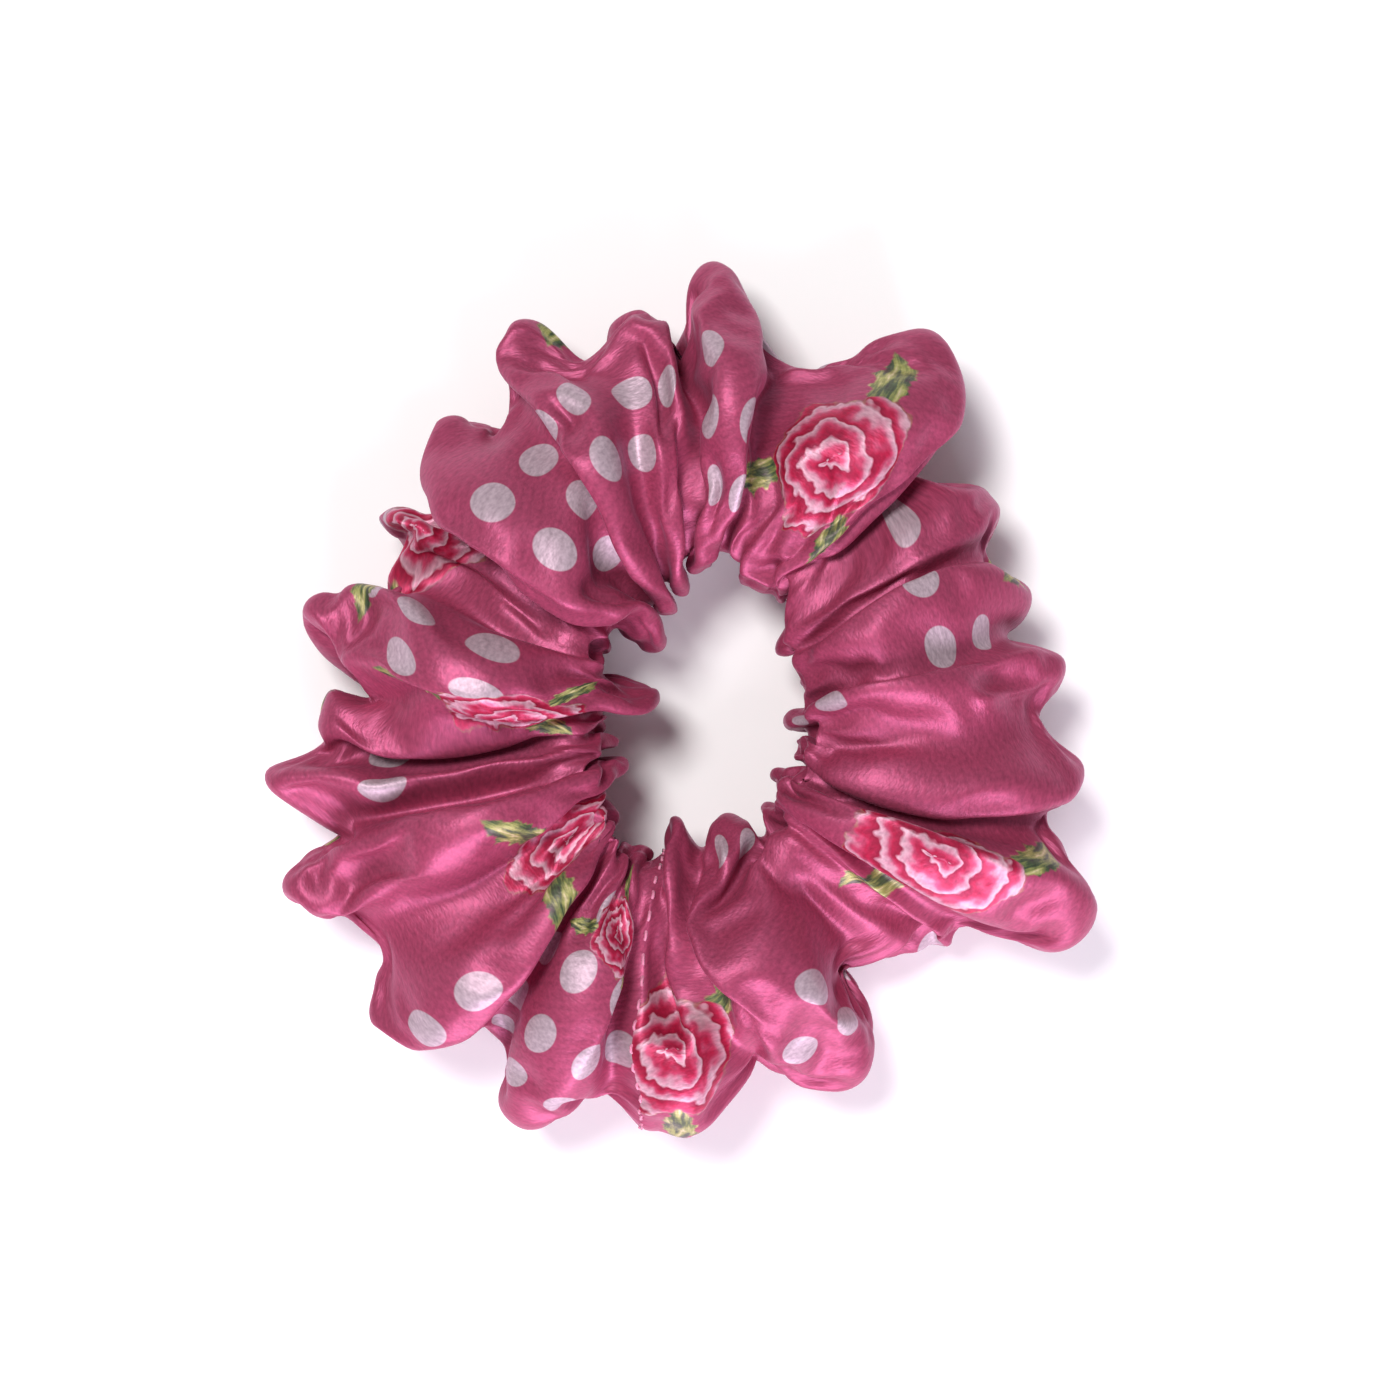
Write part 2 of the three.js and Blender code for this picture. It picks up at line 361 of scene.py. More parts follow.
def elastic_obstacle():
    """The elastic's loop as a closed ring of four sides, in simulation units."""
    angle = np.linspace(0, 2 * math.pi, 96, endpoint=False)[:, None]
    corner = np.array([[-1, -1], [-1, 1], [1, 1], [1, -1]])
    reach = elastic_reach(angle) + corner[None, :, 0] * ELASTIC_THICKNESS / 2
    z = AXIS_HEIGHT + SETTLING + corner[None, :, 1] * ELASTIC_WIDTH / 2 + 0 * angle
    x, y = (RING_CENTRE[k] + reach * f(angle) for k, f in enumerate((np.cos, np.sin)))
    return np.stack([x, y, z], axis=-1) * SIM_SCALE, tube_faces(len(angle), len(corner))


def add_obstacle(made, skin):
    made.modifiers.new("obstacle", "COLLISION")
    made.collision.thickness_outer = skin
    return made


def relax(points, held):
    """The layout after the cloth has been let go for SIM_FRAMES frames, in millimetres."""
    cloth = new_object("cloth_sim", points * SIM_SCALE, tube_faces(COLUMNS, ROWS))
    cloth.shape_key_add(name="laid out")
    rest = cloth.shape_key_add(name="unstretched")
    rest.data.foreach_set("co", unstretched_tube().reshape(-1).astype(np.float32))
    group = cloth.vertex_groups.new(name="held")
    group.add(np.flatnonzero(held.reshape(-1)).tolist(), 1.0, "REPLACE")
    modifier = cloth.modifiers.new("satin", "CLOTH")
    satin, touch = modifier.settings, modifier.collision_settings
    satin.rest_shape_key = rest
    satin.quality = 5
    satin.mass = 0.2
    satin.tension_stiffness = satin.compression_stiffness = 20
    satin.shear_stiffness = 5
    satin.bending_stiffness = 6
    satin.tension_damping = satin.compression_damping = satin.shear_damping = 5
    satin.air_damping = 5
    satin.effector_weights.gravity = 0.1
    satin.use_pressure = True
    satin.uniform_pressure_force = PRESSURE
    satin.vertex_group_mass = group.name
    touch.use_self_collision = True
    touch.self_distance_min = CLOTH_SKIN * SIM_SCALE
    touch.collision_quality = 2
    touch.self_friction = 2
    obstacles = [
        add_obstacle(flat_square("table_sim"), TABLE_SKIN * SIM_SCALE),
        add_obstacle(new_object("elastic_sim", *elastic_obstacle()), ELASTIC_SKIN * SIM_SCALE),
    ]
    scene = bpy.context.scene
    modifier.point_cache.frame_start, modifier.point_cache.frame_end = 1, SIM_FRAMES
    for step in range(1, SIM_FRAMES + 1):
        scene.frame_set(step)
    evaluated = cloth.evaluated_get(bpy.context.evaluated_depsgraph_get())
    result = np.empty(points.size, np.float32)
    evaluated.data.vertices.foreach_get("co", result)
    scene.frame_set(1)
    for made in (cloth, *obstacles):
        bpy.data.objects.remove(made)
    return result.reshape(points.shape).astype(float) / SIM_SCALE


relaxed = relax(layout, held_by_elastic)
print("relaxed box:", relaxed.min((0, 1)).round(1), relaxed.max((0, 1)).round(1))

# %% [markdown]
# ## From coarse cloth to smooth cloth
# The simulated grid has a point every two millimetres, which would show as facets along a fold.
# The rule of a cubic B-spline is used twice to double its columns and rows. A Subdivision
# Surface modifier does nearly the same, but here the columns and rows stay in order, and the
# print and the cuts need that. The cloth is then stretched a little to fill its CAD box.


# %% Refine the cloth
def refine(grid):
    """Twice the columns and rows of a closed grid, by the rule of a cubic B-spline.

    A kept point moves to (1, 6, 1) / 8 of itself and its neighbours, and an added point is
    the mean of the two beside it."""
    for axis in (0, 1):
        before, after = np.roll(grid, 1, axis), np.roll(grid, -1, axis)
        pairs = np.stack([(before + 6 * grid + after) / 8, (grid + after) / 2], axis=axis + 1)
        shape = list(grid.shape)
        shape[axis] *= 2
        grid = pairs.reshape(shape)
    return grid


def grid_normals(grid):
    """Unit normals out of the tube: the turn round the tube crossed with the strip."""
    along = np.roll(grid, -1, 0) - np.roll(grid, 1, 0)
    across = np.roll(grid, -1, 1) - np.roll(grid, 1, 1)
    normal = np.cross(across, along)
    return normal / np.linalg.norm(normal, axis=-1, keepdims=True)


def fit_to_box(grid, box):
    """Each axis shifted and scaled so that the grid just fills the box."""
    low, high = grid.min((0, 1)), grid.max((0, 1))
    return box[0] + (grid - low) / (high - low) * (box[1] - box[0])


def pinch(grid, seam_row, depth, spread):
    """A line of stitches pulls the cloth in: depth times a bell curve of the distance."""
    rows = grid.shape[1]
    distance = (np.arange(rows) - seam_row + rows / 2) % rows - rows / 2
    bell = np.exp(-((distance * GIRTH / rows / spread) ** 2))
    return grid - grid_normals(grid) * (depth * bell)[None, :, None]


satin_grid = fit_to_box(refine(refine(relaxed)), np.array(CAD_BOX) / MM)
SEAM_SHARE = 7 / 8  # of the way round the tube: underneath, near the hair opening
seam_row = round(satin_grid.shape[1] * SEAM_SHARE)
satin_grid = pinch(satin_grid, seam_row, depth=0.5, spread=1.2)
satin_normals = grid_normals(satin_grid)
print("smooth cloth:", satin_grid.shape[:2], "points")

# %% [markdown]
# ## Cutting the ring where it stretches
# The imported model pulls open in eight places, four on each side, and each slides 11 mm. The
# cloth there is cut into slabs that lie between two bodies; a slab keeps its place and rides
# neither. A cut follows the grid, and both pieces keep the same points on it, so nothing shows.
# The normals come from the uncut cloth for the same reason.


# %% Zones and cuts
KNOTS = [-20, -11, -2, 7, 16]  # heights on Y where one slab ends and the next starts
CHAINS = {
    "right": ["bottom_right", "right_lower", "right_middle", "right_upper", "top"],
    "left": ["bottom_left", "left_lower", "left_middle", "left_upper", "top"],
}
ZONES = [("top", "top", None, 0)]
for side, chain in CHAINS.items():
    names = chain[:-1] + ["top_" + side]
    ZONES.append((chain[0], chain[0], None, 0))
    ZONES += [(names[k], chain[k - 1], chain[k], k) for k in range(1, len(chain))]
print([zone[0] for zone in ZONES])


def zone_of(points):
    """Number of the zone in ZONES that each point is in, from its height and its side."""
    level = np.searchsorted(KNOTS, points[..., 1])
    left = points[..., 0] < RING_CENTRE[0]
    return np.where(level == len(KNOTS), 0, 1 + level + len(KNOTS) * left)


def cell_middles(grid):
    """Mean of the four corners of each cell of a closed grid."""
    rows = (grid + np.roll(grid, -1, 1)) / 2
    return (rows + np.roll(rows, -1, 0)) / 2


def closed_skin(outer, inner, chosen, size):
    """Chosen cells of two layers, with rims where they end, and their place on the flat.

    Outer cells keep their order, inner ones are reversed, and an edge that only one chosen
    cell uses gets a face down to the inner layer. size is the flat length and girth."""
    columns, rows = chosen.shape
    count = columns * rows
    faces = tube_faces(columns, rows)[chosen.reshape(-1)]
    corner = np.array([[0, 0], [0, 1], [1, 1], [1, 0]])
    cell = np.argwhere(chosen)[:, None, :] + corner
    flat = cell * np.array(size) / (columns, rows)
    start, end = faces, np.roll(faces, -1, axis=1)
    flat_start, flat_end = flat, np.roll(flat, -1, axis=1)
    rim = ~np.isin(end * count + start, start * count + end)
    a, b = start[rim], end[rim]
    rims = np.stack([b, a, a + count, b + count], axis=-1)
    flat_a, flat_b = flat_start[rim], flat_end[rim]
    rim_flat = np.stack([flat_b, flat_a, flat_a, flat_b], axis=1)
    faces = np.concatenate([faces, faces[:, ::-1] + count, rims])
    flat = np.concatenate([flat, flat[:, ::-1], rim_flat])
    used, local = np.unique(faces, return_inverse=True)
    points = np.concatenate([outer.reshape(-1, 3), inner.reshape(-1, 3)])[used]
    return points, local.reshape(faces.shape), flat, used


def skin_object(name, outer, inner, normals, chosen, size):
    """A mesh of the chosen cells, smooth, with the flat cloth as its UV map."""
    points, faces, flat, used = closed_skin(outer, inner, chosen, size)
    made = new_object(name, points * MM, faces)
    mesh = made.data
    mesh.polygons.foreach_set("use_smooth", np.ones(len(faces), bool))
    uv = mesh.uv_layers.new(name="cloth")
    uv.data.foreach_set("uv", (flat / UV_UNIT).reshape(-1).astype(np.float32))
    both = np.concatenate([normals.reshape(-1, 3), -normals.reshape(-1, 3)])[used]
    mesh.normals_split_custom_set_from_vertices(both.tolist())
    return made


def attach(piece, zone):
    """Ride the zone's body; a slab between two bodies keeps its place and rides neither."""
    name, lower, upper, level = zone
    if upper is None:
        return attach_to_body(piece, lower)
    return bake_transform(piece)


def cut_into_zones(name, outer, inner, normals, size, chosen, stands_for, finish):
    """One piece for each zone that the chosen cells reach, attached and with its finish."""
    zones, pieces = zone_of(cell_middles(outer)), {}
    for number, zone in enumerate(ZONES):
        here = chosen & (zones == number)
        if not here.any():
            continue
        piece = skin_object(f"{name}_{zone[0]}", outer, inner, normals, here, size)
        piece.data.materials.append(finish)
        attach(piece, zone)
        nodes = [node for node in stands_for(zone[0]) if node in CAD_NODES]
        if nodes:
            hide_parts(*nodes)
        pieces[zone[0]] = (piece, int(here.sum()))
    return pieces


UV_UNIT = 100.0  # millimetres of flat cloth per unit of the UV map
CAD_NODES = sorted(o.name for o in bpy.data.objects if o.type == "MESH")
print(len(CAD_NODES), "CAD nodes to stand for")

# %% [markdown]
# ## Helpers for materials
# A print on satin is a picture made of rules, so its material is a long graph. Small helpers
# keep it readable: one makes a node and links its inputs, others do one sum each. What
# several materials or places share is a node group.


# %% Node helpers
def node(tree, kind, inputs=(), **settings):
    """A shader node with its settings, and its inputs set or linked by name or number."""
    made = tree.nodes.new("ShaderNode" + kind)
    for key, setting in settings.items():
        setattr(made, key, setting)
    for key, given in dict(inputs).items():
        if isinstance(given, bpy.types.NodeSocket):
            tree.links.new(given, made.inputs[key])
        else:
            made.inputs[key].default_value = given
    return made


def calc(tree, operation, *terms):
    return node(tree, "Math", dict(enumerate(terms)), operation=operation).outputs[0]


def linear(tree, socket, factor, offset):
    """A number times a factor, plus an offset."""
    return calc(tree, "ADD", calc(tree, "MULTIPLY", socket, factor), offset)


def vector(tree, operation, *terms):
    """A vector sum. LENGTH and DOT_PRODUCT give their number, the others their vector."""
    made = node(tree, "VectorMath", dict(enumerate(terms)), operation=operation)
    return made.outputs["Value" if operation in ("LENGTH", "DOT_PRODUCT") else "Vector"]


def scaled(tree, socket, factors):
    return vector(tree, "MULTIPLY", socket, factors)


def times(tree, socket, number):
    """A vector or a colour times one number that changes over the surface."""
    made = node(tree, "VectorMath", {0: socket, "Scale": number}, operation="SCALE")
    return made.outputs[0]


def mix(tree, factor, first, second):
    """Colour mixed from first to second."""
    return node(tree, "Mix", {0: factor, 6: first, 7: second}, data_type="RGBA").outputs[2]


def soft_step(tree, socket, width):
    """0 below zero, 1 above the width, and a slope between."""
    return node(tree, "MapRange", {"Value": socket, "From Max": width}).outputs[0]


def noise(tree, place, scale, detail=2.0, output="Fac"):
    inputs = {"Vector": place, "Scale": scale, "Detail": detail}
    return node(tree, "TexNoise", inputs).outputs[output]


def ramp(tree, factor, stops):
    """A colour ramp from a list of (position, colour)."""
    made = node(tree, "ValToRGB", {"Fac": factor})
    elements = made.color_ramp.elements
    while len(elements) < len(stops):
        elements.new(1.0)
    for element, (position, colour) in zip(elements, stops):
        element.position, element.color = position, (*colour, 1)
    return made.outputs["Color"]


def new_group(name, inputs, outputs):
    """A shader node group, its input sockets by name, and a function that sets an output."""
    tree = bpy.data.node_groups.new(name, "ShaderNodeTree")
    for direction, sockets in (("INPUT", inputs), ("OUTPUT", outputs)):
        for label, kind in sockets.items():
            tree.interface.new_socket(label, in_out=direction, socket_type="NodeSocket" + kind)
    enter, leave = tree.nodes.new("NodeGroupInput"), tree.nodes.new("NodeGroupOutput")

    def give(label, socket):
        tree.links.new(socket, leave.inputs[label])

    return tree, enter.outputs, give


def use_group(tree, group, inputs):
    return node(tree, "Group", inputs, node_tree=group).outputs


# %% [markdown]
# ## The weave of satin
# Satin is shiny because its threads float over several others before they dive, so most of
# what is seen is thread lying one way. Up close there is a fine diagonal grain. From further
# away what shows is that no two places catch the light quite alike. The group gives both: the
# grain as a height and a shade, and slow changes as roughness.


# %% Weave group
def weave_group():
    """Shade, height and roughness of the weave, from millimetres of flat cloth.

    Place is divided by Thread, so the grain grows with the thread. Grain is noise that is
    longer one way, plus a faint sine across the diagonal ribs."""
    inputs = {"Place": "Vector", "Thread": "Float"}
    outputs = {"Shade": "Float", "Height": "Float", "Roughness": "Float"}
    tree, given, give = new_group("Woven cloth", inputs, outputs)
    fine = times(tree, given["Place"], calc(tree, "DIVIDE", 1.0, given["Thread"]))
    along_threads, slow_waves = (0.6, 1.0, 1.0), (0.06, 0.11, 1.0)
    across_ribs, rib_waves, rib_share = (0.45, 1.0, 0.0), 1.8, 0.06
    floats = noise(tree, scaled(tree, fine, along_threads), 1.0, detail=1.0)
    diagonal = vector(tree, "DOT_PRODUCT", fine, across_ribs)
    ribs = calc(tree, "SINE", calc(tree, "MULTIPLY", diagonal, rib_waves))
    grain = linear(tree, ribs, rib_share, floats)
    slow = noise(tree, scaled(tree, given["Place"], slow_waves), 1.0, detail=3.0)
    give("Shade", linear(tree, grain, factor=0.8, offset=0.6))
    give("Height", grain)
    give("Roughness", linear(tree, slow, factor=0.2, offset=0.37))
    return tree


weave = weave_group()

# %% [markdown]
# ## The print: roses, leaves and dots
# The cloth is pink, with sprays of roses here and there and fields of white dots between them.
# A rose is drawn the way it grows. Its petals follow a spiral, so distance from the heart plus
# turn round it, both nudged by noise, picks the colour from a ramp of deep red to white.
# Three leaves are one leaf repeated, by folding the turn into thirds.


# %% Rose
ROSE_COLOURS = [
    (0.0, (0.24, 0.004, 0.022)),
    (0.26, (0.38, 0.008, 0.040)),
    (0.48, (0.45, 0.05, 0.11)),
    (0.66, (0.50, 0.20, 0.27)),
    (0.88, (0.56, 0.34, 0.40)),
    (1.0, (0.30, 0.012, 0.045)),
]
PETAL_WIDTH, ROSE_RADIUS, SCALLOP = 2.1, 7.4, 0.7  # millimetres on the flat cloth
NUDGE, RUFFLE = 5.0, 0.22  # of the petals: by noise, and three to a turn


def polar(tree, place):
    """Distance and turn of a place."""
    split = node(tree, "SeparateXYZ", {0: place}).outputs
    return vector(tree, "LENGTH", place), calc(tree, "ARCTAN2", split["Y"], split["X"])


def waves(tree, turn, count, height):
    """A sine with a whole number of waves in a full turn."""
    sine = calc(tree, "SINE", calc(tree, "MULTIPLY", turn, count))
    return calc(tree, "MULTIPLY", sine, height)


def drawn_rose(tree, place):
    """Colour and mask: a spiral of petals with a scalloped edge, nudged by noise."""
    wobble = noise(tree, place, scale=0.33, output="Color")
    wobble = vector(tree, "SUBTRACT", wobble, (0.5, 0.5, 0.5))
    wobble = scaled(tree, wobble, (NUDGE, NUDGE, 0.0))
    reach, turn = polar(tree, vector(tree, "ADD", place, wobble))
    petal, whole_turn = calc(tree, "DIVIDE", reach, PETAL_WIDTH), 2 * math.pi
    spiral = calc(tree, "ADD", petal, calc(tree, "DIVIDE", turn, whole_turn))
    spiral = calc(tree, "FRACT", calc(tree, "ADD", spiral, waves(tree, turn, 3.0, RUFFLE)))
    outline = calc(tree, "ADD", waves(tree, turn, 5.0, SCALLOP), ROSE_RADIUS)
    mask = soft_step(tree, calc(tree, "SUBTRACT", outline, reach), 0.4)
    return ramp(tree, spiral, ROSE_COLOURS), mask


# %% Leaves and the spray group
LEAF_COLOURS = [
    (0.30, (0.012, 0.025, 0.014)),
    (0.45, (0.05, 0.10, 0.035)),
    (0.58, (0.30, 0.32, 0.09)),
    (0.72, (0.60, 0.52, 0.30)),
]
LEAF_START, LEAF_LENGTH, LEAF_EDGE = 4.5, 12.5, 0.15


def drawn_leaves(tree, place):
    """Colour and mask of three leaves: half a sine wide, with ragged edges and streaks."""
    reach, turn = polar(tree, place)
    third = 2 * math.pi / 3
    folded = calc(tree, "WRAP", turn, third / 2, -third / 2)
    along = calc(tree, "MULTIPLY", reach, calc(tree, "COSINE", folded))
    across = calc(tree, "MULTIPLY", reach, calc(tree, "SINE", folded))
    on_leaf = node(tree, "CombineXYZ", {"X": along, "Y": across}).outputs[0]
    ragged = noise(tree, scaled(tree, on_leaf, (0.9, 0.35, 1.0)), 1.0)
    share = calc(tree, "DIVIDE", calc(tree, "SUBTRACT", along, LEAF_START), LEAF_LENGTH)
    inside = node(tree, "Clamp", {"Value": share}).outputs[0]
    bulge = calc(tree, "SINE", calc(tree, "MULTIPLY", inside, math.pi))
    widest = linear(tree, ragged, factor=2.6, offset=0.8)
    half_width = calc(tree, "MULTIPLY", bulge, widest)
    room = calc(tree, "SUBTRACT", half_width, calc(tree, "ABSOLUTE", across))
    mask = soft_step(tree, calc(tree, "SUBTRACT", room, LEAF_EDGE), 2 * LEAF_EDGE)
    streaks = noise(tree, scaled(tree, on_leaf, (0.25, 1.3, 1.0)), 1.0, detail=3.0)
    return ramp(tree, streaks, LEAF_COLOURS), mask


def rose_group():
    """Colour and mask of one spray, from millimetres measured from its heart."""
    outputs = {"Color": "Color", "Mask": "Float"}
    tree, given, give = new_group("Rose spray", {"Place": "Vector"}, outputs)
    rose_colour, rose_mask = drawn_rose(tree, given["Place"])
    leaf_colour, leaf_mask = drawn_leaves(tree, given["Place"])
    give("Color", mix(tree, rose_mask, leaf_colour, rose_colour))
    give("Mask", calc(tree, "MAXIMUM", rose_mask, leaf_mask))
    return tree


# %% Nearest spray group
def nearest_group():
    """Keeps whichever is nearer to its heart: the spray so far, or this one."""
    inputs = dict.fromkeys(("Nearest", "Place", "Heart"), "Vector")
    inputs |= dict.fromkeys(("Turn", "Size"), "Float")
    tree, given, give = new_group("Nearest spray", inputs, {"Nearest": "Vector"})
    offset = vector(tree, "SUBTRACT", given["Place"], given["Heart"])
    axis = {"Vector": offset, "Angle": given["Turn"]}
    turned = node(tree, "VectorRotate", axis, rotation_type="Z_AXIS").outputs[0]
    size = node(tree, "CombineXYZ", {k: given["Size"] for k in "XYZ"}).outputs[0]
    local = vector(tree, "DIVIDE", turned, size)
    before, now = (vector(tree, "LENGTH", v) for v in (given["Nearest"], local))
    nearer = calc(tree, "LESS_THAN", now, before)
    inputs = {0: nearer, 4: given["Nearest"], 5: local}
    give("Nearest", node(tree, "Mix", inputs, data_type="VECTOR").outputs[1])
    return tree


# %% Dots group
def dots_group():
    """White dots on a square grid. Each dot is whole, as its field is judged at its middle."""
    inputs = {"Place": "Vector", "Pitch": "Float", "Diameter": "Float"}
    tree, given, give = new_group("Dots", inputs, {"Mask": "Float", "Middle": "Vector"})
    steps = {"X": given["Pitch"], "Y": given["Pitch"], "Z": 1.0}
    pitch = node(tree, "CombineXYZ", steps).outputs[0]
    half_on = vector(tree, "ADD", given["Place"], scaled(tree, pitch, (0.5, 0.5, 0)))
    middle = vector(tree, "SNAP", half_on, pitch)
    away = vector(tree, "LENGTH", vector(tree, "SUBTRACT", given["Place"], middle))
    radius = calc(tree, "DIVIDE", given["Diameter"], 2.0)
    give("Mask", soft_step(tree, calc(tree, "SUBTRACT", radius, away), 0.15))
    give("Middle", middle)
    return tree


rose, nearest, dots = rose_group(), nearest_group(), dots_group()

# %% [markdown]
# ## Satin
# The print is placed by fold, since the folds decide which part of it is seen: a rose sits on
# the big smooth panel, dots run down the narrow folds. The finish is a soft, one-way shine, on
# a plain Principled shader: a quarter metallic, because light goes into the dyed threads and
# comes back pink, with a shine tinted lilac, stretched a little along the threads.


# %% Satin material
PINK = (0.31, 0.044, 0.096)
DOT_WHITE = (0.42, 0.33, 0.37)
DOT_PITCH, DOT_DIAMETER = 7.5, 4.6
# fold, share round the tube, turn, size of each spray
SPRAYS = [
    (0.42, 0.33, 0.5, 1.1),
    (3.5, 0.28, -1.0, 1.05),
    (8.66, 0.25, -1.6, 1.1),
    (13.5, 0.40, 2.0, 1.25),
    (14.75, 0.20, -1.6, 0.9),
    (18.1, 0.145, -2.6, 1.0),
    (19.5, 0.18, -0.9, 0.6),
    (7.2, 0.62, 0.0, 1.2),
    (11.3, 0.70, 1.6, 1.2),
    (16.5, 0.62, 2.5, 1.2),
]
# fold, share round the tube and radius of each field of dots
DOT_FIELDS = [
    (11.9, 0.25, 14),
    (11.0, 0.31, 8),
    (9.57, 0.22, 10),
    (7.85, 0.32, 6),
    (6.25, 0.33, 7),
    (5.47, 0.11, 6),
    (1.65, 0.37, 8),
    (1.5, 0.08, 7),
    (19.4, 0.31, 15),
    (18.45, 0.35, 6),
    (16.4, 0.32, 6),
    (14.4, 0.31, 9),
    (3.0, 0.70, 20),
    (9.0, 0.68, 22),
    (13.5, 0.66, 20),
    (19.0, 0.72, 20),
]


def on_strip(fold):
    """Millimetres along the strip of a fold number, whose fraction is the way across it."""
    return float(np.interp(fold, np.arange(len(FOLD_START)), FOLD_START))


def nearest_of(tree, place, marks):
    """Place measured from the nearest of the marks, turned and divided by its size."""
    far_off = 99.0
    nearest_yet = node(tree, "CombineXYZ", {"X": far_off}).outputs[0]
    for fold, round_tube, turn, size in marks:
        heart = (on_strip(fold), round_tube * GIRTH, 0)
        inputs = {"Place": place, "Heart": heart, "Turn": turn, "Size": size}
        nearest_yet = use_group(tree, nearest, {**inputs, "Nearest": nearest_yet})["Nearest"]
    return nearest_yet


def printed_pink(tree, place):
    """The print's colour from a place on the flat cloth, in millimetres."""
    grid = {"Place": place, "Pitch": DOT_PITCH, "Diameter": DOT_DIAMETER}
    found = use_group(tree, dots, grid)
    fields = [(fold, round_tube, 0.0, radius) for fold, round_tube, radius in DOT_FIELDS]
    from_field = vector(tree, "LENGTH", nearest_of(tree, found["Middle"], fields))
    dotted = calc(tree, "MULTIPLY", found["Mask"], calc(tree, "LESS_THAN", from_field, 1.0))
    drawn = use_group(tree, rose, {"Place": nearest_of(tree, place, SPRAYS)})
    with_dots = mix(tree, dotted, (*PINK, 1), (*DOT_WHITE, 1))
    return mix(tree, drawn["Mask"], with_dots, drawn["Color"])


def new_material(name, **uniform):
    """A material with its Principled shader, and the numbers that don't change over it."""
    material = bpy.data.materials.new(name)
    material.use_nodes = True
    shader = material.node_tree.nodes["Principled BSDF"]
    for key, given in uniform.items():
        shader.inputs[key.replace("_", " ")].default_value = given
    return material, material.node_tree, shader


def finish_cloth(tree, shader, place, colour, thread, bump):
    """Weave over a colour: shade, roughness and the bump of the grain."""
    woven = use_group(tree, weave, {"Place": place, "Thread": thread})
    tree.links.new(times(tree, colour, woven["Shade"]), shader.inputs["Base Color"])
    tree.links.new(woven["Roughness"], shader.inputs["Roughness"])
    inputs = {"Height": woven["Height"], "Strength": 1.0, "Distance": bump * MM}
    tree.links.new(node(tree, "Bump", inputs).outputs[0], shader.inputs["Normal"])


def flat_place(tree):
    """The UV map, read in millimetres of flat cloth."""
    uv = node(tree, "UVMap", uv_map="cloth").outputs[0]
    return scaled(tree, uv, (UV_UNIT, UV_UNIT, 0))


def satin_material():
    material, tree, shader = new_material(
        "printed satin",
        Metallic=0.25,
        Sheen_Weight=0.08,
        Sheen_Roughness=0.35,
        Sheen_Tint=(1.0, 0.6, 0.9, 1),
        Specular_IOR_Level=0.9,
        Specular_Tint=(1.0, 0.45, 0.8, 1),
        Anisotropic=0.3,
    )
    place = flat_place(tree)
    finish_cloth(tree, shader, place, printed_pink(tree, place), thread=0.36, bump=0.045)
    threads = node(tree, "Tangent", direction_type="UV_MAP", uv_map="cloth").outputs[0]
    tree.links.new(threads, shader.inputs["Tangent"])
    return material


satin = satin_material()
print("satin has", len(satin.node_tree.nodes), "nodes")

# %% [markdown]
# ## Satin pieces
# Every slice of the CAD casing is stood for by the satin of the same zone. Each piece's cells
# are counted, but nothing uses the count.


# %% Cut the satin
def casing_nodes(zone_name):
    extra = {"bottom_right": ["casing_bottom_start"], "bottom_left": ["casing_bottom_end"]}
    return ["casing_" + zone_name, *extra.get(zone_name, [])]


def cloth_pieces():
    inner = satin_grid - satin_normals * SATIN_THICKNESS
    everywhere = np.ones(satin_grid.shape[:2], bool)
    pieces = cut_into_zones(
        "satin",
        satin_grid,
        inner,
        satin_normals,
        (STRIP_LENGTH, GIRTH),
        everywhere,
        casing_nodes,
        satin,
    )


cloth_pieces()

# %% [markdown]
# ## The elastic
# The elastic is a flat knitted band, 6 mm wide, with fine ribs along it. Its last two
# centimetres lie over its start and are sewn to it. It is swept as one strip round its loop
# and cut at the same places as the satin.

# %% Elastic material
def plain_cloth(name, colour, thread, bump, **uniform):
    """A woven or knitted material of one colour."""
    material, tree, shader = new_material(name, **uniform)
    dye = node(tree, "RGB").outputs[0]
    dye.default_value = (*colour, 1)
    finish_cloth(tree, shader, flat_place(tree), dye, thread, bump)
    return material


ELASTIC_PINK = (0.62, 0.30, 0.38)
knitted = plain_cloth(
    "knitted elastic", ELASTIC_PINK, thread=0.5, bump=0.05, Roughness=0.8, Sheen_Weight=0.2
)

# %% Elastic loop
RIBS, RIB_DEPTH = 9, 0.08


def loop_point(angle, offset, z):
    """A point beside the elastic's loop: offset outward from it, at a height."""
    reach = elastic_reach(angle) + offset
    x, y = RING_CENTRE[0] + reach * np.cos(angle), RING_CENTRE[1] + reach * np.sin(angle)
    return np.stack(np.broadcast_arrays(x, y, z), axis=-1)


LAP_START, LAP_FULL, LAP_END, LAP_OFFSET = 617.0, 627.0, 650.0, 1.4
FIRST_END = 270.0


def lap_offset(angle):
    """How far the loop's end has stepped out over its start, easing in and out."""
    share = np.clip((np.degrees(angle) - LAP_START) / (LAP_FULL - LAP_START), 0, 1)
    return LAP_OFFSET * share * share * (3 - 2 * share)


